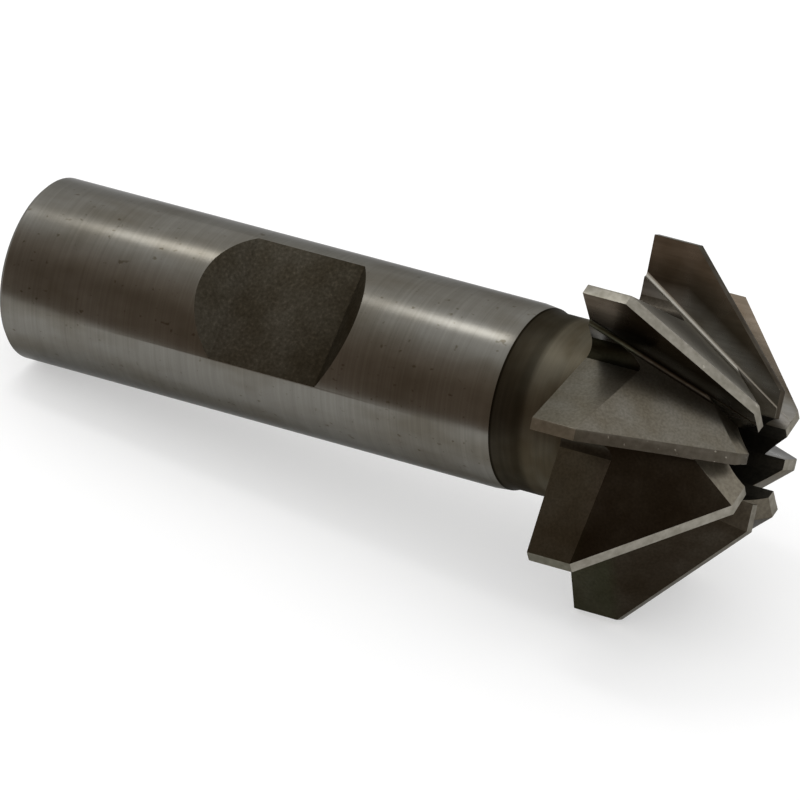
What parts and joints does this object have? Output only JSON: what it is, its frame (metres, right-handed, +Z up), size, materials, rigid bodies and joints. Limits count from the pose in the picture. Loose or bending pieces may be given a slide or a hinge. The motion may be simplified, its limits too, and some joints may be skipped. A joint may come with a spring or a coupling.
{
  "type": "face angle cutter",
  "caption": "Solid shank-type angle milling cutter: conical toothed head with straight gullets, centre recess, short neck, and a round shank with a clamping flat.",
  "frame": {"origin": "middle of the tool's box, on the surface that it lies on", "axes": "+X along the tool toward its toothed face, +Z up; at rest the tool's own axis rises 7.2 degrees toward the head"},
  "size_m": [0.0708, 0.0298, 0.03],
  "materials": {
    "tool_steel": "ground high-speed steel, darkened by oil and heat"
  },
  "bodies": {
    "root": {"angle_cutter": "tool_steel"}
  },
  "joints": []
}
